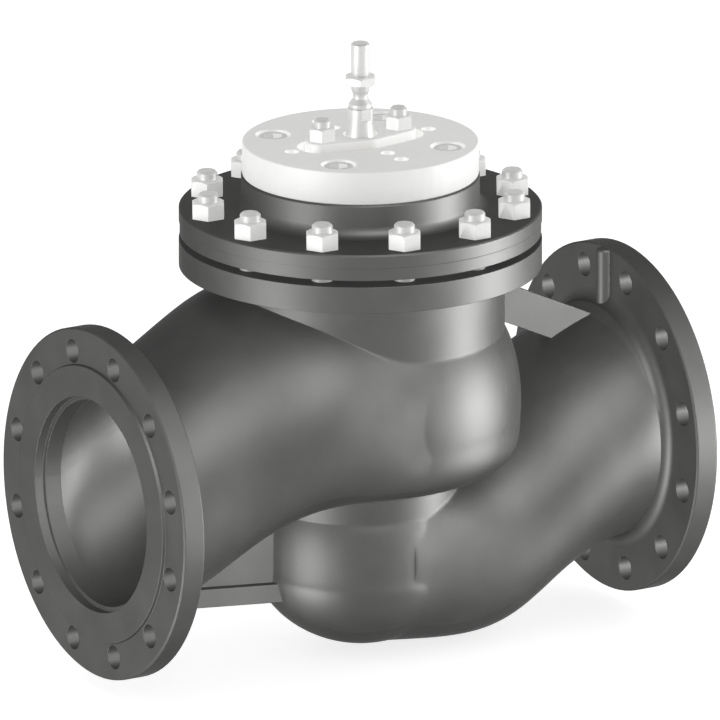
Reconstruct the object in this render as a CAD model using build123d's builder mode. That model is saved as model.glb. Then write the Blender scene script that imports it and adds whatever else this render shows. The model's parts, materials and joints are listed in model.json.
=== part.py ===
from build123d import *
from math import copysign, cos, radians, sin, sqrt, tan
import os

# Two-way globe valve, DN 200 PN 16, without its actuator. Millimetres.
# The origin is the centre of port A's raised face, +X runs along the pipe towards port B,
# and +Z runs along the stem. Heights are counted from the pipe's centre line.

# Pipe ends
face_to_face = 600
port_d = 200
wall = 14
port_recess_w = 4.5
port_recess_depth = 9
raised_face_w = 34
raised_face_h = 3
end_bolt_count = 12
end_bolt_hole_d = 23
end_bolt_land = 2
end_bolt_edge = 22.5
end_flange_t = 26
end_hub_fillet = 12
end_hub_l = 34
edge_break = 1.5

# Body neck and its flange
neck_d = 276
body_flange_t = 26
body_flange_top = 220.5

# Upper chamber, over the seat
chamber_wall = 10
cup_d = 306.4
cup_top_z = 183
cup_widest_z = 45
cup_bottom_z = -17
cup_square_above = 2.85
cup_square_below = 3.3

# Lower chamber, under the seat
seat_land_t = 14
throat_wall = 12
throat_bottom_z = -40
seat_bore_bottom_z = -62
bowl_d = 203
bowl_top_z = -10
bowl_widest_z = -102
bowl_bottom_z = -180
bowl_square_above = 4.5
bowl_square_below = 1.9

# Outlines across the pipe, of the two chambers' middles and then of the branches on the way to
# their flanges: share of the way from the stem to the flange's back, top, bottom, half width,
# height of the widest place, and how square it is above and below there, where 2 is round
outline_points = 20
branch_sink = 0.7
port_step = 0.1
end_back = face_to_face / 2 - end_flange_t
pipe_r = port_d / 2 + wall
cup_r = cup_d / 2
cup_middle = (0, cup_top_z, cup_bottom_z, cup_r, cup_widest_z, cup_square_above, cup_square_below)
upper_branch = [
    (0.001, cup_top_z - 1, cup_bottom_z + 1, cup_r - branch_sink, 45, cup_square_above, cup_square_below),
    (0.08, 183, -17, cup_r - branch_sink, 46, 2.8, 3.2),
    (0.2, 184, -19, 151.5, 50, 2.6, 2.8),
    (0.365, 187, -28, 148, 66, 2.3, 2.4),
    (0.536, 180, -50, 138, 62, 2.05, 2.15),
    (0.639, 170, -70, 129, 48, 2, 2.05),
    (0.759, 153, -92, 122, 30, 2, 2),
    (0.883, 133, -107, 119, 13, 2, 2),
    (1, pipe_r, -pipe_r, pipe_r, 0, 2, 2),
]
bowl_r = bowl_d / 2
bowl_middle = (0, bowl_top_z, bowl_bottom_z, bowl_r, bowl_widest_z, bowl_square_above, bowl_square_below)
lower_branch = [
    (0.001, bowl_top_z - 1, bowl_bottom_z + 1, bowl_r - branch_sink, -102, bowl_square_above, 1.9),
    (0.07, -11, -181, bowl_r - branch_sink / 2, -101, 4.2, 1.9),
    (0.2, -12, -184, 103.5, -99, 3.4, 2),
    (0.365, 3, -185, 108, -92, 2.4, 2),
    (0.529, 45, -172, 112, -64, 2, 2),
    (0.642, 72, -151, 115, -40, 2, 2),
    (0.759, 90, -131, 117, -21, 2, 2),
    (0.883, 104, -118, 117, -7, 2, 2),
    (1, pipe_r, -pipe_r, pipe_r, 0, 2, 2),
]

# Stiffening ribs and the boss behind port B's flange
brace_t = 16
brace_top_z = 165
brace_height = 39
brace_slope = 0.466
brace_end_gap = 18
web_t = 12
web_foot_t = 30
web_foot_h = 18
web_foot_z = -109
web_foot_slope = -0.09
flange_boss_r = 8.5
flange_boss_sink = 2
flange_boss_fillet = 3

# Joint between body and bonnet
flange_gap = 6.3
gasket_recess_step = 2
gasket_recess_depth = 8
gasket_t = 3
fit_gap = 0.1

# Bonnet
bonnet_flange_t = 25.5
bonnet_parting_h = 12
bonnet_parting_step = 0.8
bonnet_neck_step = 1
bonnet_neck_h = 32
bonnet_neck_fillet = 10
bonnet_roof_t = 48
bonnet_skirt_gap = 13
bonnet_skirt_h = 110
bonnet_boss_d = 66
bonnet_boss_h = 38
male_face_gap = 0.3

# Flange studs and nuts, M20
stud_count = 12
stud_start_angle = 15
stud_d = 20
stud_hole_gap = 1
stud_land = 4
stud_edge = 22.5
stud_stand_out = 8
nut_af = 30
nut_h = 16
thread_chamfer = 2

# Seat
stroke = 60
seat_bore_d = 160
seat_wall = 5
seat_top = 6
seat_collar_w = 7
seat_collar_h = 7
seat_collar_gap = 0.7
seat_body_bottom = -17

# Pressure-balanced plug
plug_skirt_t = 7
plug_skirt_margin = 8
plug_skirt_gap = 0.4
plug_disc_t = 30
plug_disc_drop = 10
plug_rim_t = 10
plug_land = 4.5
plug_window_count = 4
plug_window_w = 62
plug_window_tip_w = 8
plug_window_margin = 10
plug_tube_d = 124
plug_tube_t = 12
plug_hub_d = 44
plug_hub_h = 14
piston_gap = 0.5
piston_bottom = 128
piston_h = 30
balance_hole_d = 14
balance_hole_count = 6
balance_hole_land = 2
seal_groove_rise = 6
guide_groove_rise = 18
ring_groove_depth = 6
piston_ring_h = 8
guide_ring_h = 6

# Balance cylinder's liner
liner_margin = 0.6
liner_t = 9
liner_lip_h = 5
liner_lip_w = 8.9
ring_gap = 0.06

# Stem and its nut under the plug
stem_d = 20
stem_end_d = 16
stem_shoulder_drop = 2
stem_end_out = 4
stem_engagement = 21
plug_nut_af = 24
plug_nut_h = 13
plug_washer_d = 30
plug_washer_t = 3
running_gap = 0.05

# Guide bush and packing
guide_bush_d = 28
packing_d = 36
packing_depth = 62.3
packing_base_h = 8
packing_ring_count = 5
packing_ring_h = 7

# Gland
gland_rise = 6.5
gland_t = 16
gland_stud_reach = 42.5
gland_end_r = 16.5
gland_middle_r = 24.5
gland_bore_d = 33
gland_stud_d = 16
gland_stud_hole_gap = 0.75
gland_stud_engagement = 22
gland_stud_stand_out = 8
gland_nut_af = 24
gland_nut_h = 13
gland_edge_chamfer = 1
follower_collar_d = 44
follower_collar_h = 7
follower_gap = 0.3

# Mounting plate and its screws, M20
plate_rim_w = 10.16
plate_t = 32.2
pocket_gap = 7.5
screw_reach = 60.7
screw_d = 20
screw_hole_gap = 1
screw_head_d = 30
screw_head_h = 20
screw_head_gap = 2
screw_sink = 1.5
screw_engagement = 30
screw_hex_af = 17
screw_hex_depth = 10
tap_spare = 3
tapped_d = 14
tapped_depth = 26
tapped_outer_reach = 76
tapped_inner_reach = 51

# Stem coupling, heights from its lower end
coupling_dip = 2.4
coupling_bell_d = 28.8
coupling_cone_h = 13.3
coupling_d = 24.4
coupling_h = 28.4
coupling_flat_af = 22
coupling_flat_h = 11

# Connector on the coupling, heights from its collar
connector_spigot_d = 14
connector_spigot_h = 6
connector_collar_d = 22.8
connector_collar_h = 4
connector_neck_d = 14.6
connector_neck_bottom = 9.7
connector_neck_top = 14.4
connector_rod_bottom = 17.6
connector_rod_d = 18
connector_relief = 0.25
connector_h = 64.3
lock_nut_rise = 23
lock_nut_h = 9
lock_nut_af = 28

# Places that follow from these sizes
stem_x = face_to_face / 2
port_recess_d = port_d + 2 * port_recess_w
raised_face_d = port_d + 2 * raised_face_w
end_bolt_pcd = raised_face_d + end_bolt_hole_d + 2 * end_bolt_land
end_flange_d = end_bolt_pcd + 2 * end_bolt_edge
throat_bore_d = seat_bore_d + 2 * seat_wall
throat_d = throat_bore_d + 2 * throat_wall
seat_collar_d = throat_bore_d + 2 * seat_collar_w
seat_land_top = cup_bottom_z + seat_land_t
gasket_recess_d = neck_d - 2 * gasket_recess_step
stud_hole_d = stud_d + 2 * stud_hole_gap
stud_pcd = gasket_recess_d + stud_hole_d + 2 * stud_land
body_flange_d = stud_pcd + 2 * stud_edge
bonnet_skirt_d = neck_d - 2 * wall - 2 * bonnet_skirt_gap
liner_bore_d = seat_bore_d + 2 * plug_land + 2 * liner_margin
liner_d = liner_bore_d + 2 * liner_t
liner_lip_d = liner_d + 2 * liner_lip_w
balance_hole_pcd = plug_tube_d - 2 * plug_tube_t - balance_hole_d - 2 * balance_hole_land
gland_stud_hole_d = gland_stud_d + 2 * gland_stud_hole_gap
screw_hole_d = screw_d + 2 * screw_hole_gap
screw_counterbore_d = screw_head_d + 2 * screw_head_gap
plate_d = 2 * (screw_reach * sqrt(2) + screw_counterbore_d / 2 + plate_rim_w)
bonnet_neck_d = plate_d + 2 * bonnet_neck_step
gasket_bottom = body_flange_top - gasket_recess_depth
male_face = gasket_bottom + gasket_t
bonnet_bottom = body_flange_top + flange_gap
bonnet_flange_top = bonnet_bottom + bonnet_flange_t
bonnet_top = bonnet_flange_top + bonnet_neck_h
bonnet_roof = bonnet_top - bonnet_roof_t
bonnet_boss_bottom = bonnet_roof - bonnet_boss_h
skirt_end = bonnet_roof - bonnet_skirt_h
packing_bottom = bonnet_top - packing_depth
packing_top = packing_bottom + packing_base_h + packing_ring_count * packing_ring_h
plate_top = bonnet_top + plate_t
screw_seat = plate_top - screw_sink - screw_head_h
gland_top = plate_top + gland_rise
gland_bottom = gland_top - gland_t
piston_d = liner_bore_d - 2 * piston_gap
piston_top = piston_bottom + piston_h
seal_groove_z = piston_bottom + seal_groove_rise
guide_groove_z = piston_bottom + guide_groove_rise
plug_disc_bottom = seat_top - plug_disc_drop
plug_disc_top = plug_disc_bottom + plug_disc_t
skirt_bottom = seat_top - stroke - plug_skirt_margin
stem_shoulder = plug_disc_top - stem_shoulder_drop
washer_bottom = plug_disc_bottom - plug_washer_t
stem_bottom = washer_bottom - plug_nut_h - stem_end_out
coupling_bottom = gland_top - coupling_dip
coupling_top = coupling_bottom + coupling_h


def level(z):
    """The plane across the stem's axis at height z."""
    return Plane((stem_x, 0, z))


def stem_section():
    """The upright plane through the stem's axis: x is the radius and y the height."""
    return Plane(origin=(stem_x, 0, 0), x_dir=(1, 0, 0), z_dir=(0, -1, 0))


stem_axis = Axis((stem_x, 0, 0), (0, 0, 1))
pipe_axis = Axis((0, 0, 0), (1, 0, 0))


def turned(points, mode=Mode.ADD):
    """Turns a closed outline of (radius, height) points about the stem's axis."""
    with BuildSketch(stem_section()) as outline:
        with BuildLine():
            Polyline(*points, close=True)
        make_face()
    revolve(outline.sketch, axis=stem_axis, mode=mode)


def tube(outer_d, inner_d, bottom, top, mode=Mode.ADD):
    """A plain ring about the stem's axis, or a disc where inner_d is 0."""
    with BuildSketch(level(bottom)) as ring:
        Circle(outer_d / 2)
        if inner_d:
            Circle(inner_d / 2, mode=Mode.SUBTRACT)
    extrude(ring.sketch, amount=top - bottom, mode=mode)


def outline_across(side, station, inset):
    """One of the outlines above, shrunk by inset; side is -1 towards port A and 1 towards port B.

    A chamber's middle gives the half that is turned about the stem.
    """
    share, top, bottom, half_width, widest_z, square_above, square_below = station
    points = []
    for i in range(outline_points):
        turn = radians(360 * i / outline_points)
        above = i <= outline_points / 2
        power = 2 / (square_above if above else square_below)
        reach = (top - widest_z if above else widest_z - bottom) - inset
        across = (half_width - inset) * abs(cos(turn)) ** power
        rise = reach * abs(sin(turn)) ** power
        points.append((copysign(across, cos(turn)), widest_z + copysign(rise, sin(turn))))
    origin = (stem_x + side * share * end_back, 0, 0)
    with BuildSketch(Plane(origin=origin, x_dir=(0, 1, 0), z_dir=(1, 0, 0))) as section:
        with BuildLine():
            Spline(*points, periodic=True)
        make_face()
        if share == 0:
            with Locations((half_width, widest_z)):
                Rectangle(2 * half_width, 2 * (top - bottom), mode=Mode.INTERSECT)
    return section.sketch


def chamber(middle, stations, side, hollow, mode):
    """A chamber turned about the stem, with its branch; hollow is 0 for the outside and 1 for the passage."""
    sections = []
    for station in stations:
        inset = hollow * (chamber_wall + (wall + port_step - chamber_wall) * station[0])
        sections.append(outline_across(side, station, inset))
    loft(sections, mode=mode)
    revolve(outline_across(side, middle, hollow * chamber_wall), axis=stem_axis, mode=mode)


def end_flange(side):
    """One end flange with its raised face and the fillet at its back."""
    face_x = stem_x + side * stem_x
    inward = -side
    back_x = face_x + inward * end_flange_t
    rim_x = face_x + inward * raised_face_h
    with BuildSketch(Plane.XZ) as outline:
        with BuildLine():
            Polyline(
                (back_x, 0),
                (face_x, 0),
                (face_x, raised_face_d / 2),
                (rim_x, raised_face_d / 2 + 1),
                (rim_x, end_flange_d / 2 - edge_break),
                (rim_x + inward * edge_break, end_flange_d / 2),
                (back_x - inward * edge_break, end_flange_d / 2),
                (back_x, end_flange_d / 2 - edge_break),
                (back_x, pipe_r + end_hub_fillet),
            )
            RadiusArc(
                (back_x, pipe_r + end_hub_fillet),
                (back_x + inward * end_hub_fillet, pipe_r),
                side * end_hub_fillet,
            )
            # Behind the fillet the hub tapers away inside the branch's wall
            Polyline(
                (back_x + inward * end_hub_fillet, pipe_r),
                (back_x + inward * end_hub_l, pipe_r - wall),
                (back_x + inward * end_hub_l, 0),
                (back_x, 0),
            )
        make_face()
    revolve(outline.sketch, axis=pipe_axis)


def end_bores(side):
    """Bolt holes and the port's own bore, cut from one end flange."""
    face_x = stem_x + side * stem_x
    face = Plane(origin=(face_x, 0, 0), x_dir=(0, 1, 0), z_dir=(-side, 0, 0))
    with BuildSketch(face) as holes:
        with PolarLocations(end_bolt_pcd / 2, end_bolt_count, start_angle=180 / end_bolt_count):
            Circle(end_bolt_hole_d / 2)
    extrude(holes.sketch, amount=end_flange_t + 1, mode=Mode.SUBTRACT)
    with BuildSketch(face) as recess:
        Circle(port_recess_d / 2)
    extrude(recess.sketch, amount=port_recess_depth, mode=Mode.SUBTRACT)
    with BuildSketch(face) as bore:
        Circle(port_d / 2)
    extrude(bore.sketch, amount=end_flange_t, mode=Mode.SUBTRACT)


def hex_nut(across_flats, height, bore_d, both_ends=False):
    """A hexagon nut on the XY plane with corners towards +X and -X."""
    corner_r = across_flats / 2 / cos(radians(30))
    face_r = 0.95 * across_flats / 2
    bevel = (corner_r - face_r) * tan(radians(30))
    lower_end = [(face_r, 0), (corner_r, bevel)] if both_ends else [(corner_r, 0)]
    with BuildPart() as nut:
        with BuildSketch():
            RegularPolygon(across_flats / 2, 6, major_radius=False)
            Circle(bore_d / 2, mode=Mode.SUBTRACT)
        extrude(amount=height)
        with BuildSketch(Plane.XZ):
            with BuildLine():
                Polyline(
                    (0, 0),
                    *lower_end,
                    (corner_r, height - bevel),
                    (face_r, height),
                    (0, height),
                    close=True,
                )
            make_face()
        revolve(axis=Axis.Z, mode=Mode.INTERSECT)
    return nut.part


def stud(diameter, length):
    """A plain rod on the XY plane with chamfered ends, for a stud bolt."""
    with BuildPart() as rod:
        with BuildSketch():
            Circle(diameter / 2)
        extrude(amount=length)
        chamfer(rod.edges().filter_by(GeomType.CIRCLE), thread_chamfer)
    return rod.part


def socket_screw():
    """A socket-head screw whose head stands on the XY plane."""
    with BuildPart() as screw:
        with BuildSketch():
            Circle(screw_head_d / 2)
        extrude(amount=screw_head_h)
        chamfer(screw.edges().group_by(Axis.Z)[-1], edge_break)
        with BuildSketch():
            Circle(screw_d / 2)
        extrude(amount=screw_seat - bonnet_top + screw_engagement, dir=(0, 0, -1))
        with BuildSketch(Plane.XY.offset(screw_head_h)):
            RegularPolygon(screw_hex_af / 2, 6, major_radius=False)
        extrude(amount=-screw_hex_depth, mode=Mode.SUBTRACT)
    return screw.part


def flange_boss(height):
    """An upright round boss on the XY plane with rounded ends."""
    with BuildPart() as boss:
        with BuildSketch():
            Circle(flange_boss_r)
        extrude(amount=height)
        fillet(boss.edges().filter_by(GeomType.CIRCLE), flange_boss_fillet)
    return boss.part


def gland_outline(plane, margin):
    """The gland's oval, grown by a margin."""
    with BuildSketch(plane) as oval:
        with Locations((-gland_stud_reach, 0), (gland_stud_reach, 0)):
            Circle(gland_end_r + margin)
        Circle(gland_middle_r + margin)
        make_hull()
    return oval.sketch


with BuildPart() as body:
    chamber(bowl_middle, lower_branch, 1, 0, Mode.ADD)
    # Web between port A's branch and the lower chamber, with a wide foot along its lower edge
    web_start = end_flange_t
    web_end = stem_x - throat_d / 4
    web_end_z = web_foot_z + web_foot_slope * (web_end - web_start)
    with BuildSketch(Plane.XZ):
        Polygon(
            (web_start, web_foot_z),
            (web_end, web_end_z),
            (web_end, cup_bottom_z),
            (web_start, -pipe_r + wall / 2),
            align=None,
        )
    extrude(amount=web_t / 2, both=True)
    with BuildSketch(Plane.XZ):
        Polygon(
            (web_start, web_foot_z),
            (web_end, web_end_z),
            (web_end, web_end_z + web_foot_h),
            (web_start, web_foot_z + web_foot_h),
            align=None,
        )
    extrude(amount=web_foot_t / 2, both=True)
    # Brace from the neck down to port B's branch
    brace_start = stem_x + neck_d / 2 - wall / 2
    brace_end = face_to_face - end_flange_t - brace_end_gap
    brace_drop = brace_slope * (brace_end - brace_start)
    with BuildSketch(Plane.XZ):
        Polygon(
            (brace_start, brace_top_z),
            (brace_start, brace_top_z - brace_height),
            (brace_end, brace_top_z - brace_height - brace_drop),
            (brace_end, brace_top_z - brace_drop),
            align=None,
        )
    extrude(amount=brace_t / 2, both=True)
    end_flange(-1)
    end_flange(1)
    chamber(bowl_middle, lower_branch, 1, 1, Mode.SUBTRACT)
    # Upper chamber with its neck and port A's branch
    chamber(cup_middle, upper_branch, -1, 0, Mode.ADD)
    tube(neck_d, 0, cup_widest_z, gasket_bottom)
    tube(body_flange_d, 0, body_flange_top - body_flange_t, body_flange_top)
    chamber(cup_middle, upper_branch, -1, 1, Mode.SUBTRACT)
    tube(neck_d - 2 * wall, 0, cup_widest_z, gasket_bottom, Mode.SUBTRACT)
    tube(gasket_recess_d, 0, gasket_bottom, body_flange_top, Mode.SUBTRACT)
    tube(throat_d, 0, throat_bottom_z, seat_land_top)
    tube(seat_collar_d + 2 * seat_collar_gap, 0, seat_land_top, seat_top, Mode.SUBTRACT)
    tube(throat_bore_d, 0, seat_bore_bottom_z, seat_top, Mode.SUBTRACT)
    end_bores(-1)
    end_bores(1)
    # Boss behind port B's flange, from the pipe to the rim
    boss_bottom = pipe_r - flange_boss_sink
    boss_top = end_flange_d / 2 - edge_break
    with Locations((face_to_face - end_flange_t, 0, boss_bottom)):
        add(flange_boss(boss_top - boss_bottom))
    # Tapped holes of the flange studs
    with BuildSketch(level(body_flange_top)):
        with PolarLocations(stud_pcd / 2, stud_count, start_angle=stud_start_angle):
            Circle(stud_d / 2 + fit_gap)
    extrude(amount=-body_flange_t, mode=Mode.SUBTRACT)
body.part.label = "body"

with BuildPart() as seat_gasket:
    tube(seat_collar_d, throat_bore_d, seat_land_top, seat_top - seat_collar_h)
seat_gasket.part.label = "seat_gasket"

with BuildPart() as seat_ring:
    tube(seat_collar_d, seat_bore_d, seat_top - seat_collar_h, seat_top)
    tube(throat_bore_d - 2 * fit_gap, seat_bore_d, seat_body_bottom, seat_top - seat_collar_h)
seat_ring.part.label = "seat_ring"

with BuildPart() as plug:
    skirt_r = seat_bore_d / 2 - plug_skirt_gap
    land_r = seat_bore_d / 2 + plug_land
    tube_r = plug_tube_d / 2
    chamber_r = tube_r - plug_tube_t
    piston_r = piston_d / 2
    stem_hole_r = stem_d / 2 + fit_gap
    stem_end_hole_r = stem_end_d / 2 + fit_gap
    turned(
        [
            (stem_end_hole_r, plug_disc_bottom),
            (skirt_r - plug_skirt_t, plug_disc_bottom),
            (skirt_r - plug_skirt_t, skirt_bottom),
            (skirt_r, skirt_bottom),
            (skirt_r, seat_top),
            (land_r, seat_top),
            (land_r, seat_top + plug_rim_t),
            (tube_r, plug_disc_top),
            (tube_r, piston_bottom),
            (piston_r - edge_break, piston_bottom),
            (piston_r, piston_bottom + edge_break),
            (piston_r, piston_top - edge_break),
            (piston_r - edge_break, piston_top),
            (chamber_r, piston_top),
            (chamber_r, plug_disc_top),
            (plug_hub_d / 2, plug_disc_top),
            (plug_hub_d / 2, plug_disc_top + plug_hub_h),
            (stem_hole_r, plug_disc_top + plug_hub_h),
            (stem_hole_r, stem_shoulder),
            (stem_end_hole_r, stem_shoulder),
        ]
    )
    # Grooves of the sliding seal and the guide ring
    for bottom, height in ((seal_groove_z, piston_ring_h), (guide_groove_z, guide_ring_h)):
        tube(piston_d + 1, piston_d - 2 * ring_groove_depth, bottom, bottom + height, Mode.SUBTRACT)
    # Passages that balance the pressure over and under the plug
    with BuildSketch(level(plug_disc_bottom)):
        with PolarLocations(balance_hole_pcd / 2, balance_hole_count):
            Circle(balance_hole_d / 2)
    extrude(amount=plug_disc_t, mode=Mode.SUBTRACT)
    # Tapered ports in the skirt, which set how the flow grows with the lift
    window_h = plug_disc_bottom - skirt_bottom - plug_window_margin
    for turn in range(plug_window_count // 2):
        angle = radians(45 + turn * 360 / plug_window_count)
        across = Vector(cos(angle), sin(angle), 0)
        along = Vector(-sin(angle), cos(angle), 0)
        with BuildSketch(Plane(origin=(stem_x, 0, skirt_bottom), x_dir=along, z_dir=across)):
            Polygon(
                (-plug_window_w / 2, 0),
                (plug_window_w / 2, 0),
                (plug_window_tip_w / 2, window_h),
                (-plug_window_tip_w / 2, window_h),
                align=None,
            )
        extrude(amount=skirt_r + 1, both=True, mode=Mode.SUBTRACT)
plug.part.label = "plug"

groove_floor_d = piston_d - 2 * ring_groove_depth
with BuildPart() as piston_ring:
    tube(
        liner_bore_d - 2 * ring_gap,
        groove_floor_d + 2 * fit_gap,
        seal_groove_z,
        seal_groove_z + piston_ring_h,
    )
piston_ring.part.label = "piston_ring"

with BuildPart() as piston_guide_ring:
    tube(
        liner_bore_d - 2 * ring_gap,
        groove_floor_d + 2 * fit_gap,
        guide_groove_z,
        guide_groove_z + guide_ring_h,
    )
piston_guide_ring.part.label = "piston_guide_ring"

with BuildPart() as valve_stem:
    turned(
        [
            (0, stem_bottom),
            (stem_end_d / 2 - thread_chamfer, stem_bottom),
            (stem_end_d / 2, stem_bottom + thread_chamfer),
            (stem_end_d / 2, stem_shoulder),
            (stem_d / 2, stem_shoulder),
            (stem_d / 2, coupling_bottom),
            (stem_end_d / 2, coupling_bottom),
            (stem_end_d / 2, coupling_bottom + stem_engagement),
            (0, coupling_bottom + stem_engagement),
        ]
    )
valve_stem.part.label = "valve_stem"

with BuildPart() as plug_washer:
    tube(plug_washer_d, stem_end_d + 2 * fit_gap, washer_bottom, plug_disc_bottom)
plug_washer.part.label = "plug_washer"

with BuildPart(level(washer_bottom - plug_nut_h)) as plug_nut:
    add(hex_nut(plug_nut_af, plug_nut_h, stem_end_d + 2 * fit_gap))
plug_nut.part.label = "plug_nut"

with BuildPart() as bonnet_gasket:
    tube(
        gasket_recess_d - 2 * male_face_gap,
        neck_d - 2 * wall,
        gasket_bottom,
        gasket_bottom + gasket_t,
    )
bonnet_gasket.part.label = "bonnet_gasket"

with BuildPart() as bonnet:
    male_r = gasket_recess_d / 2 - male_face_gap
    skirt_bore_r = liner_d / 2 + fit_gap
    rim_r = body_flange_d / 2
    lower_rim_r = rim_r - bonnet_parting_step
    neck_r = bonnet_neck_d / 2
    with BuildSketch(stem_section()):
        with BuildLine():
            Polyline(
                (0, bonnet_boss_bottom),
                (bonnet_boss_d / 2, bonnet_boss_bottom),
                (bonnet_boss_d / 2, bonnet_roof),
                (skirt_bore_r, bonnet_roof),
                (skirt_bore_r, skirt_end),
                (bonnet_skirt_d / 2, skirt_end),
                (bonnet_skirt_d / 2, male_face),
                (male_r, male_face),
                (male_r, bonnet_bottom),
                (lower_rim_r, bonnet_bottom),
                (lower_rim_r, bonnet_bottom + bonnet_parting_h),
                (rim_r, bonnet_bottom + bonnet_parting_h),
                (rim_r, bonnet_flange_top - edge_break),
                (rim_r - edge_break, bonnet_flange_top),
                (neck_r + bonnet_neck_fillet, bonnet_flange_top),
            )
            RadiusArc(
                (neck_r + bonnet_neck_fillet, bonnet_flange_top),
                (neck_r, bonnet_flange_top + bonnet_neck_fillet),
                bonnet_neck_fillet,
            )
            Polyline(
                (neck_r, bonnet_flange_top + bonnet_neck_fillet),
                (neck_r, bonnet_top - edge_break),
                (neck_r - edge_break, bonnet_top),
                (0, bonnet_top),
                (0, bonnet_boss_bottom),
            )
        make_face()
    revolve(axis=stem_axis)
    tube(guide_bush_d, 0, bonnet_boss_bottom, packing_bottom, Mode.SUBTRACT)
    tube(packing_d, 0, packing_bottom, bonnet_top, Mode.SUBTRACT)
    with BuildSketch(level(bonnet_bottom)):
        with PolarLocations(stud_pcd / 2, stud_count, start_angle=stud_start_angle):
            Circle(stud_hole_d / 2)
    extrude(amount=bonnet_flange_t, mode=Mode.SUBTRACT)
    with BuildSketch(level(bonnet_top)):
        with GridLocations(2 * gland_stud_reach, 0, 2, 1):
            Circle(gland_stud_d / 2 + fit_gap)
    extrude(amount=-gland_stud_engagement - tap_spare, mode=Mode.SUBTRACT)
    with BuildSketch(level(bonnet_top)):
        with GridLocations(2 * screw_reach, 2 * screw_reach, 2, 2):
            Circle(screw_d / 2 + fit_gap)
    extrude(amount=-screw_engagement - tap_spare, mode=Mode.SUBTRACT)
bonnet.part.label = "bonnet"

with BuildPart() as cylinder_liner:
    tube(liner_d, liner_bore_d, skirt_end - liner_lip_h, bonnet_roof)
    tube(liner_lip_d, liner_bore_d, skirt_end - liner_lip_h, skirt_end)
cylinder_liner.part.label = "cylinder_liner"

with BuildPart(level(body_flange_top - body_flange_t)) as bonnet_studs:
    stud_length = body_flange_t + flange_gap + bonnet_flange_t + nut_h + stud_stand_out
    with PolarLocations(stud_pcd / 2, stud_count, start_angle=stud_start_angle, rotate=False):
        add(stud(stud_d, stud_length))
bonnet_studs.part.label = "bonnet_studs"

with BuildPart(level(bonnet_flange_top)) as bonnet_nuts:
    with PolarLocations(stud_pcd / 2, stud_count, start_angle=stud_start_angle, rotate=False):
        add(hex_nut(nut_af, nut_h, stud_d + 2 * fit_gap))
bonnet_nuts.part.label = "bonnet_nuts"

with BuildPart() as guide_bush:
    tube(
        guide_bush_d - 2 * running_gap,
        stem_d + 2 * running_gap,
        bonnet_boss_bottom,
        packing_bottom,
    )
guide_bush.part.label = "guide_bush"

packing_fit_d = packing_d - 2 * fit_gap
stem_fit_d = stem_d + 2 * running_gap
with BuildPart() as packing_base_ring:
    tube(packing_fit_d, stem_fit_d, packing_bottom, packing_bottom + packing_base_h)
packing_base_ring.part.label = "packing_base_ring"

with BuildPart() as packing_rings:
    for turn in range(packing_ring_count):
        ring_bottom = packing_bottom + packing_base_h + turn * packing_ring_h
        tube(packing_fit_d, stem_fit_d, ring_bottom, ring_bottom + packing_ring_h - fit_gap)
packing_rings.part.label = "packing_rings"

with BuildPart() as gland_follower:
    follower_bore_d = stem_d + 2 * follower_gap
    tube(packing_d - 2 * follower_gap, follower_bore_d, packing_top, gland_bottom)
    tube(follower_collar_d, follower_bore_d, gland_bottom - follower_collar_h, gland_bottom)
gland_follower.part.label = "gland_follower"

with BuildPart() as gland_flange:
    extrude(gland_outline(level(gland_bottom), 0), amount=gland_t)
    chamfer(gland_flange.faces().sort_by(Axis.Z)[-1].edges(), gland_edge_chamfer)
    with BuildSketch(level(gland_bottom)):
        Circle(gland_bore_d / 2)
        with GridLocations(2 * gland_stud_reach, 0, 2, 1):
            Circle(gland_stud_hole_d / 2)
    extrude(amount=gland_t, mode=Mode.SUBTRACT)
gland_flange.part.label = "gland_flange"

with BuildPart(level(bonnet_top - gland_stud_engagement)) as gland_studs:
    gland_stud_length = (
        gland_stud_engagement + gland_top - bonnet_top + gland_nut_h + gland_stud_stand_out
    )
    with GridLocations(2 * gland_stud_reach, 0, 2, 1):
        add(stud(gland_stud_d, gland_stud_length))
gland_studs.part.label = "gland_studs"

with BuildPart(level(gland_top)) as gland_nuts:
    with GridLocations(2 * gland_stud_reach, 0, 2, 1):
        add(hex_nut(gland_nut_af, gland_nut_h, gland_stud_d + 2 * fit_gap))
gland_nuts.part.label = "gland_nuts"

with BuildPart() as mounting_plate:
    with BuildSketch(level(bonnet_top)):
        Circle(plate_d / 2)
    extrude(amount=plate_t)
    chamfer(mounting_plate.edges().filter_by(GeomType.CIRCLE), 1)
    extrude(gland_outline(level(bonnet_top), pocket_gap), amount=plate_t, mode=Mode.SUBTRACT)
    with BuildSketch(level(bonnet_top)):
        with GridLocations(2 * screw_reach, 2 * screw_reach, 2, 2):
            Circle(screw_hole_d / 2)
    extrude(amount=plate_t, mode=Mode.SUBTRACT)
    with BuildSketch(level(screw_seat)):
        with GridLocations(2 * screw_reach, 2 * screw_reach, 2, 2):
            Circle(screw_counterbore_d / 2)
    extrude(amount=plate_t, mode=Mode.SUBTRACT)
    with BuildSketch(level(plate_top)):
        with PolarLocations(tapped_outer_reach, 4):
            Circle(tapped_d / 2)
        with PolarLocations(tapped_inner_reach, 2, start_angle=90):
            Circle(tapped_d / 2)
    extrude(amount=-tapped_depth, mode=Mode.SUBTRACT)
mounting_plate.part.label = "mounting_plate"

with BuildPart(level(screw_seat)) as plate_screws:
    with GridLocations(2 * screw_reach, 2 * screw_reach, 2, 2):
        add(socket_screw())
plate_screws.part.label = "plate_screws"

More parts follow.
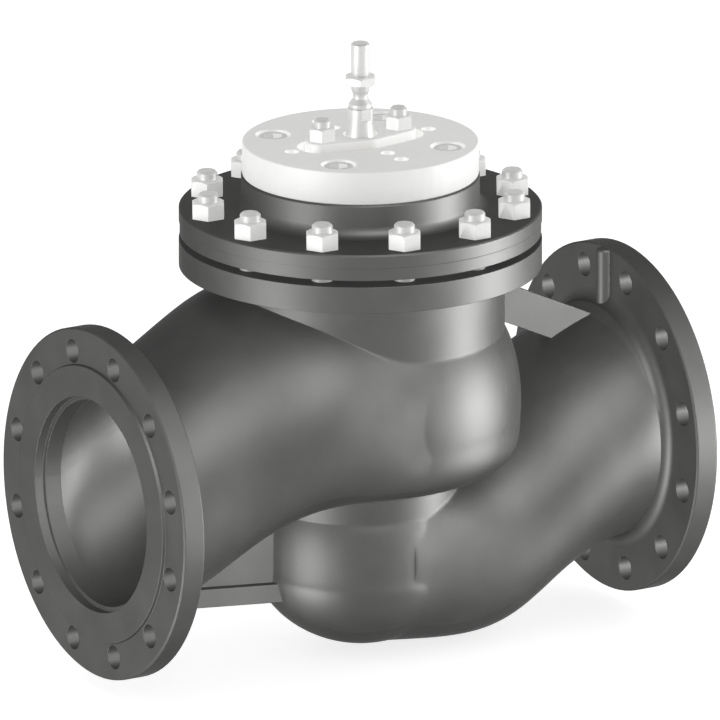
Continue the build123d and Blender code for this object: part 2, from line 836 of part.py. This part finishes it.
with BuildPart() as stem_coupling:
    spigot_bottom = coupling_top - connector_spigot_h
    turned(
        [
            (stem_end_d / 2 + fit_gap, coupling_bottom),
            (coupling_bell_d / 2, coupling_bottom),
            (coupling_d / 2, coupling_bottom + coupling_cone_h),
            (coupling_d / 2, coupling_top),
            (connector_spigot_d / 2 + fit_gap, coupling_top),
            (connector_spigot_d / 2 + fit_gap, spigot_bottom),
            (stem_end_d / 2 + fit_gap, spigot_bottom),
        ]
    )
    # Two wrench flats near the upper end
    flat_depth = (coupling_d - coupling_flat_af) / 2
    with BuildSketch(level(coupling_top)):
        with GridLocations(0, coupling_flat_af + 2 * flat_depth, 1, 2):
            Rectangle(coupling_d, 2 * flat_depth)
    extrude(amount=-coupling_flat_h, mode=Mode.SUBTRACT)
stem_coupling.part.label = "stem_coupling"

with BuildPart() as stem_connector:
    rod_r = connector_rod_d / 2
    # The rod is a little thinner up to the lock nut's top
    relief_top = coupling_top + lock_nut_rise + lock_nut_h + connector_relief
    turned(
        [
            (0, coupling_top - connector_spigot_h),
            (connector_spigot_d / 2, coupling_top - connector_spigot_h),
            (connector_spigot_d / 2, coupling_top),
            (connector_collar_d / 2, coupling_top),
            (connector_collar_d / 2, coupling_top + connector_collar_h),
            (connector_neck_d / 2, coupling_top + connector_neck_bottom),
            (connector_neck_d / 2, coupling_top + connector_neck_top),
            (rod_r - connector_relief, coupling_top + connector_rod_bottom),
            (rod_r - connector_relief, relief_top),
            (rod_r, relief_top + connector_relief),
            (rod_r, coupling_top + connector_h - edge_break),
            (rod_r - edge_break, coupling_top + connector_h),
            (0, coupling_top + connector_h),
        ]
    )
stem_connector.part.label = "stem_connector"

with BuildPart(level(coupling_top + lock_nut_rise)) as lock_nut:
    add(hex_nut(lock_nut_af, lock_nut_h, connector_rod_d + 2 * fit_gap, both_ends=True))
lock_nut.part.label = "lock_nut"

os.makedirs("parts", exist_ok=True)
pieces = [
    body,
    seat_gasket,
    seat_ring,
    plug,
    piston_ring,
    piston_guide_ring,
    valve_stem,
    plug_washer,
    plug_nut,
    bonnet_gasket,
    bonnet,
    cylinder_liner,
    bonnet_studs,
    bonnet_nuts,
    guide_bush,
    packing_base_ring,
    packing_rings,
    gland_follower,
    gland_flange,
    gland_studs,
    gland_nuts,
    mounting_plate,
    plate_screws,
    stem_coupling,
    stem_connector,
    lock_nut,
]
for piece in pieces:
    export_step(piece.part, f"parts/{piece.part.label}.step")
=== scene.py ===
import json
import math

import bpy
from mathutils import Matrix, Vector


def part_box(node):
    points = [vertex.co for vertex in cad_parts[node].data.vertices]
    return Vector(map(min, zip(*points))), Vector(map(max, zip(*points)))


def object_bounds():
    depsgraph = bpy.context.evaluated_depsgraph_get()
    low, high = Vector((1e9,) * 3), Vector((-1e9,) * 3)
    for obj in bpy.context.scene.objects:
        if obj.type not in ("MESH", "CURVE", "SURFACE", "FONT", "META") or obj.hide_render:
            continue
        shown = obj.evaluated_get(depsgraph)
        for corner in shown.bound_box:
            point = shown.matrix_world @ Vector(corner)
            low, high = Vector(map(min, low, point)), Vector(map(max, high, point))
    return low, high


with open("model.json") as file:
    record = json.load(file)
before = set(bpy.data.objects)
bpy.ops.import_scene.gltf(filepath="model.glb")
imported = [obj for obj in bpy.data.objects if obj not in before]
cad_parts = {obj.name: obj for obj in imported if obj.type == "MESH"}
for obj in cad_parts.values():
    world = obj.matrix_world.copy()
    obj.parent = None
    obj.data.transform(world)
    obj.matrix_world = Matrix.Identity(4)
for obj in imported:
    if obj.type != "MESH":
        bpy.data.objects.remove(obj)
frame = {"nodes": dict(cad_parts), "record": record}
cad_low, cad_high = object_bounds()
nodes = frame["nodes"]

# Lengths are in metres, angles in degrees and powers in watts

# Camera: the photograph's view, nearly parallel
STEM_X = (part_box("valve_stem")[0].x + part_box("valve_stem")[1].x) / 2
VIEW_AZIMUTH = -31.087
VIEW_ELEVATION = 16.413
VIEW_WIDTH = 0.6887
VIEW_RIGHT = -0.00038
VIEW_UP = 0.0939
LENS_MM = 1600
SENSOR_MM = 36

# Lamps: name, azimuth from the camera's, elevation, power, width and height
LAMP_DISTANCE = 3
LAMPS = [
    ("left_light", -54, 8, 48, 0.9, 2.6),
    ("right_light", 88, 8, 62, 0.9, 2.6),
]
# Lamps for the broad highlights on the castings' paint, which light nothing else
HIGHLIGHTS = [
    ("right_highlight", 88, -8, 245, 1.4, 1.4),
    ("upper_highlight", 23, 43, 190, 2.4, 2.4),
    ("left_highlight", -58, -30, 170, 1.6, 1.6),
]
HIGHLIT_PIECES = ["body", "bonnet"]

# World: white, and greyer overhead from one height of the view's direction to another
WHITE = (1, 1, 1, 1)
WORLD_LIGHT = 0.68
OVERHEAD_START = 0.3
OVERHEAD_END = 0.85
OVERHEAD_GREY = 0.3

FLOOR_SIZE = 16
FLOOR_GAP = 0.0005
FLOOR_COLOUR = (0.75, 0.75, 0.75, 1)
FLOOR_GLOW = 0.55

# Edges of the castings, rounded by their paint's shader
CASTING_EDGE_RADIUS = 0.0009
CASTING_EDGE_SAMPLES = 8
# A wider rounding blends the body's chambers into the branches,
# near the stem's axis and under the neck's flange
BLEND_RADIUS = 0.006
BLEND_REACH = 0.05
BLEND_END = 0.08
BLEND_TOP = 0.185

# Edges of the machined pieces, rounded by modifiers
WELD_DISTANCE = 0.00001
EDGE_ANGLE = 30
EDGE_SEGMENTS = 2
EDGE_RADII = {
    "mounting_plate": 0.0004,
    "gland_flange": 0.0004,
    "bonnet_nuts": 0.0003,
    "bonnet_studs": 0.0003,
    "gland_nuts": 0.0003,
    "gland_studs": 0.0003,
    "plate_screws": 0.0003,
    "stem_coupling": 0.0002,
    "stem_connector": 0.0002,
    "lock_nut": 0.0003,
}

# Paint of the castings, mottled between two greys
PAINT_DARK = (0.048, 0.048, 0.0468, 1)
PAINT_LIGHT = (0.056, 0.056, 0.0546, 1)
PAINT_DARK_AT = 0.3
PAINT_LIGHT_AT = 0.7
PAINT_GLOSS = (0.47, 0.53)
PAINT_METALLIC = 0.75
PAINT_TINT = (0.2, 0.2, 0.2, 1)
MOTTLE_SCALE = 22
MOTTLE_DETAIL = 4
SWELL_SCALE = 70
SWELL_STRENGTH = 0.25
SWELL_HEIGHT = 0.0003
GRAIN_SCALE = 900
GRAIN_STRENGTH = 0.12
GRAIN_HEIGHT = 0.0001
RELIEF_DETAIL = 2

# Metals: turning rings or a fine cloud, and a slight change of tone
RING_SCALE = 900
CLOUD_SCALE = 35
METAL_DETAIL = 3
METAL_TONE = (0.95, 1.0)
METAL_GLOSS_SPREAD = 0.05
TURNING_STRENGTH = 0.15
TURNING_HEIGHT = 0.00005
# Studs and screws get a darker zinc than the nuts over the whole piece: painted shade standing in for
# their darker tops
PAINTED_SHADE_PIECES = ["bonnet_studs", "gland_studs", "plate_screws"]


def view_axes(azimuth, elevation):
    """Unit vectors to the right, up and back towards the camera for a view."""
    a, e = math.radians(azimuth), math.radians(elevation)
    back = Vector((math.sin(a) * math.cos(e), -math.cos(a) * math.cos(e), math.sin(e)))
    right = Vector((math.cos(a), math.sin(a), 0))
    return right, back.cross(right), back


def add_object(name, data):
    new_object = bpy.data.objects.new(name, data)
    bpy.context.scene.collection.objects.link(new_object)
    return new_object


def place(thing, location, back):
    """Puts a camera or a lamp at a location, with its back turned to a direction."""
    thing.location = location
    thing.rotation_mode = "QUATERNION"
    thing.rotation_quaternion = back.to_track_quat("Z", "Y")


def make_camera():
    right, up, back = view_axes(VIEW_AZIMUTH, VIEW_ELEVATION)
    distance = VIEW_WIDTH * LENS_MM / SENSOR_MM
    data = bpy.data.cameras.new("camera")
    data.sensor_width = SENSOR_MM
    data.lens = LENS_MM
    data.clip_start = distance / 10
    data.clip_end = distance * 10
    camera = add_object("camera", data)
    target = Vector((STEM_X, 0, 0)) + right * VIEW_RIGHT + up * VIEW_UP
    place(camera, target + back * distance, back)
    bpy.context.scene.camera = camera


def make_lamp(name, azimuth, elevation, power, width, height):
    """A rectangular lamp without shadows that faces the valve's middle."""
    back = view_axes(VIEW_AZIMUTH + azimuth, elevation)[2]
    data = bpy.data.lights.new(name, "AREA")
    data.shape = "RECTANGLE"
    data.size = width
    data.size_y = height
    data.energy = power
    data.use_shadow = False
    data.cycles.use_multiple_importance_sampling = False
    lamp = add_object(name, data)
    place(lamp, (cad_low + cad_high) / 2 + back * LAMP_DISTANCE, back)
    return lamp


def make_lamps():
    castings = bpy.data.collections.new("castings")
    for name in HIGHLIT_PIECES:
        castings.objects.link(nodes[name])
    for lamp_values in LAMPS:
        make_lamp(*lamp_values)
    for lamp_values in HIGHLIGHTS:
        make_lamp(*lamp_values).light_linking.receiver_collection = castings


class Tree:
    """A short way to add and join shader nodes."""

    def __init__(self, owner):
        owner.use_nodes = True
        self.tree = owner.node_tree
        self.tree.nodes.clear()

    def add(self, kind, inputs=None, **settings):
        """A new node, whose inputs are set to values or joined to outputs."""
        node = self.tree.nodes.new(kind)
        for key, value in settings.items():
            setattr(node, key, value)
        for key, value in (inputs or {}).items():
            socket = node.inputs[key]
            if isinstance(value, bpy.types.NodeSocket):
                self.tree.links.new(value, socket)
            else:
                socket.default_value = value
        return node

    def out(self, kind, inputs=None, **settings):
        """The first output of a new node."""
        return self.add(kind, inputs, **settings).outputs[0]

    def math(self, operation, *values):
        return self.out("ShaderNodeMath", dict(enumerate(values)), operation=operation)

    def vector(self, operation, *values):
        return self.out("ShaderNodeVectorMath", dict(enumerate(values)), operation=operation)

    def coordinates(self, vector):
        return self.add("ShaderNodeSeparateXYZ", {"Vector": vector}).outputs

    def noise(self, vector, scale, detail):
        inputs = {"Vector": vector, "Scale": scale, "Detail": detail}
        return self.out("ShaderNodeTexNoise", inputs)

    def between(self, share, low, high):
        """A share from 0 to 1 turned into a value between two limits."""
        return self.out("ShaderNodeMapRange", {"Value": share, "To Min": low, "To Max": high})

    def bump(self, height, strength, distance, **normal):
        inputs = {"Height": height, "Strength": strength, "Distance": distance}
        return self.out("ShaderNodeBump", {**inputs, **normal})

    def mix(self, share, first, second):
        return self.out("ShaderNodeMixShader", {0: share, 1: first, 2: second})

    def surface(self, kind, shader):
        self.add(kind, {"Surface": shader})


def backdrop_rays(tree):
    """1 for the rays that show the background: from the camera, off gloss and through glass."""
    path = tree.add("ShaderNodeLightPath").outputs
    either = tree.math("MAXIMUM", path["Is Camera Ray"], path["Is Glossy Ray"])
    return tree.math("MAXIMUM", either, path["Is Transmission Ray"])


def make_world():
    """A white studio that is greyer overhead."""
    world = bpy.data.worlds.new("studio")
    world.cycles.sampling_method = "NONE"
    tree = Tree(world)
    direction = tree.add("ShaderNodeTexCoord").outputs["Generated"]
    overhead = {
        "Value": tree.coordinates(direction)["Z"],
        "From Min": OVERHEAD_START,
        "From Max": OVERHEAD_END,
        "To Min": 1.0,
        "To Max": OVERHEAD_GREY,
    }
    grey = tree.out("ShaderNodeMapRange", overhead)
    light = tree.out("ShaderNodeBackground", {"Color": WHITE, "Strength": WORLD_LIGHT})
    seen = tree.out("ShaderNodeBackground", {"Color": WHITE, "Strength": grey})
    tree.surface("ShaderNodeOutputWorld", tree.mix(backdrop_rays(tree), light, seen))
    bpy.context.scene.world = world


def floor_material():
    """Pale floor that the background's rays see brighter."""
    material = bpy.data.materials.new("floor")
    tree = Tree(material)
    plain = tree.out("ShaderNodeBsdfDiffuse", {"Color": FLOOR_COLOUR})
    glow = tree.out("ShaderNodeEmission", {"Color": WHITE, "Strength": FLOOR_GLOW})
    lit = tree.out("ShaderNodeAddShader", {0: plain, 1: glow})
    tree.surface("ShaderNodeOutputMaterial", tree.mix(backdrop_rays(tree), plain, lit))
    return material


def make_floor():
    half = FLOOR_SIZE / 2
    z = cad_low.z - FLOOR_GAP
    corners = [(-half, -half), (half, -half), (half, half), (-half, half)]
    mesh = bpy.data.meshes.new("floor")
    mesh.from_pydata([(STEM_X + x, y, z) for x, y in corners], [], [(0, 1, 2, 3)])
    mesh.materials.append(floor_material())
    add_object("floor", mesh)


def casting_edge(tree, vector):
    """Normal of the castings with rounded edges, wider ones where the body's forms blend."""
    along_pipe, _, up = tree.coordinates(vector)
    from_stem = tree.math("ABSOLUTE", tree.math("SUBTRACT", along_pipe, STEM_X))
    blend = {
        "Value": from_stem,
        "From Min": BLEND_REACH,
        "From Max": BLEND_END,
        "To Min": BLEND_RADIUS,
        "To Max": 0.0,
    }
    below_neck = tree.math("LESS_THAN", up, BLEND_TOP)
    wide = tree.math("MULTIPLY", tree.out("ShaderNodeMapRange", blend), below_neck)
    radius = tree.math("MAXIMUM", wide, CASTING_EDGE_RADIUS)
    return tree.out("ShaderNodeBevel", {"Radius": radius}, samples=CASTING_EDGE_SAMPLES)


def casting_paint():
    """Dark grey paint on cast iron: faint mottling and the fine unevenness of a sand casting."""
    material = bpy.data.materials.new("casting_paint")
    tree = Tree(material)
    vector = tree.add("ShaderNodeTexCoord").outputs["Object"]
    mottle = tree.noise(vector, MOTTLE_SCALE, MOTTLE_DETAIL)
    colour = tree.add("ShaderNodeValToRGB", {"Fac": mottle})
    dark, light = colour.color_ramp.elements
    dark.position, dark.color = PAINT_DARK_AT, PAINT_DARK
    light.position, light.color = PAINT_LIGHT_AT, PAINT_LIGHT
    wavy = tree.noise(vector, SWELL_SCALE, RELIEF_DETAIL)
    grain = tree.noise(vector, GRAIN_SCALE, RELIEF_DETAIL)
    swell = tree.bump(wavy, SWELL_STRENGTH, SWELL_HEIGHT, Normal=casting_edge(tree, vector))
    paint = {
        "Base Color": colour.outputs["Color"],
        "Metallic": PAINT_METALLIC,
        "Specular Tint": PAINT_TINT,
        "Roughness": tree.between(mottle, *PAINT_GLOSS),
        "Normal": tree.bump(grain, GRAIN_STRENGTH, GRAIN_HEIGHT, Normal=swell),
    }
    tree.surface("ShaderNodeOutputMaterial", tree.out("ShaderNodeBsdfPrincipled", paint))
    return material


def turning_rings(tree, vector):
    """Fine rings about the stem's axis."""
    centred = tree.vector("ADD", vector, (-STEM_X, 0, 0))
    across = tree.vector("MULTIPLY", centred, (1, 1, 0))
    length = tree.add("ShaderNodeVectorMath", {0: across}, operation="LENGTH")
    ring_vector = tree.out("ShaderNodeCombineXYZ", {"X": length.outputs["Value"]})
    return tree.noise(ring_vector, RING_SCALE, METAL_DETAIL)


def metal(name, colour, roughness, metallic, turned=True):
    """Metal or plastic with the rings of turning, or else with a fine cloud."""
    material = bpy.data.materials.new(name)
    tree = Tree(material)
    vector = tree.add("ShaderNodeTexCoord").outputs["Object"]
    cloud = tree.noise(vector, CLOUD_SCALE, METAL_DETAIL)
    marks = turning_rings(tree, vector) if turned else cloud
    tone = tree.between(cloud, *METAL_TONE)
    gloss = roughness - METAL_GLOSS_SPREAD, roughness + METAL_GLOSS_SPREAD
    finish = {
        "Base Color": tree.out(
            "ShaderNodeVectorMath", {0: colour, "Scale": tone}, operation="SCALE"
        ),
        "Metallic": metallic,
        "Roughness": tree.between(marks, *gloss),
        "Normal": tree.bump(marks, TURNING_STRENGTH, TURNING_HEIGHT),
    }
    tree.surface("ShaderNodeOutputMaterial", tree.out("ShaderNodeBsdfPrincipled", finish))
    return material


def assign(node_name, material):
    materials = nodes[node_name].data.materials
    materials.clear()
    materials.append(material)


def assign_materials():
    """Gives each piece the material of its slot in the record, and studs and screws a darker zinc as
    painted shade for their tops.
    """
    finishes = {
        "casting": casting_paint(),
        "machined_steel": metal("machined_steel", (0.8, 0.8, 0.79), roughness=0.55, metallic=0.1),
        "zinc_steel": metal(
            "zinc_plated", (0.74, 0.74, 0.73), roughness=0.45, metallic=0.2, turned=False
        ),
        "stainless": metal("stainless_steel", (0.66, 0.66, 0.65), roughness=0.42, metallic=0.5),
        "bronze": metal("bronze", (0.6, 0.42, 0.2), roughness=0.4, metallic=1.0),
        "graphite": metal("graphite", (0.05, 0.05, 0.05), roughness=0.6, metallic=0.2),
        "seal": metal("seal_plastic", (0.8, 0.79, 0.75), roughness=0.5, metallic=0.0),
    }
    for part in frame["record"]["subparts"]:
        assign(part["node"], finishes[part["material_slot"]])
    # A darker zinc for the studs and screws: painted shade for their tops
    painted_shade_zinc = metal(
        "zinc_plated_studs", (0.6, 0.6, 0.59), roughness=0.45, metallic=0.25, turned=False
    )
    for name in PAINTED_SHADE_PIECES:
        assign(name, painted_shade_zinc)


def round_edges(node_name, radius):
    """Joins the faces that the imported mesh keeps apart, and rounds the edges between them."""
    modifiers = nodes[node_name].modifiers
    modifiers.new("weld", "WELD").merge_threshold = WELD_DISTANCE
    bevel = modifiers.new("rounded_edges", "BEVEL")
    bevel.width = radius
    bevel.segments = EDGE_SEGMENTS
    bevel.limit_method = "ANGLE"
    bevel.angle_limit = math.radians(EDGE_ANGLE)
    bevel.use_clamp_overlap = False
    bevel.harden_normals = True


assign_materials()
for piece, edge_radius in EDGE_RADII.items():
    round_edges(piece, edge_radius)
make_camera()
make_world()
make_floor()
make_lamps()
bpy.context.scene.view_settings.view_transform = "Standard"
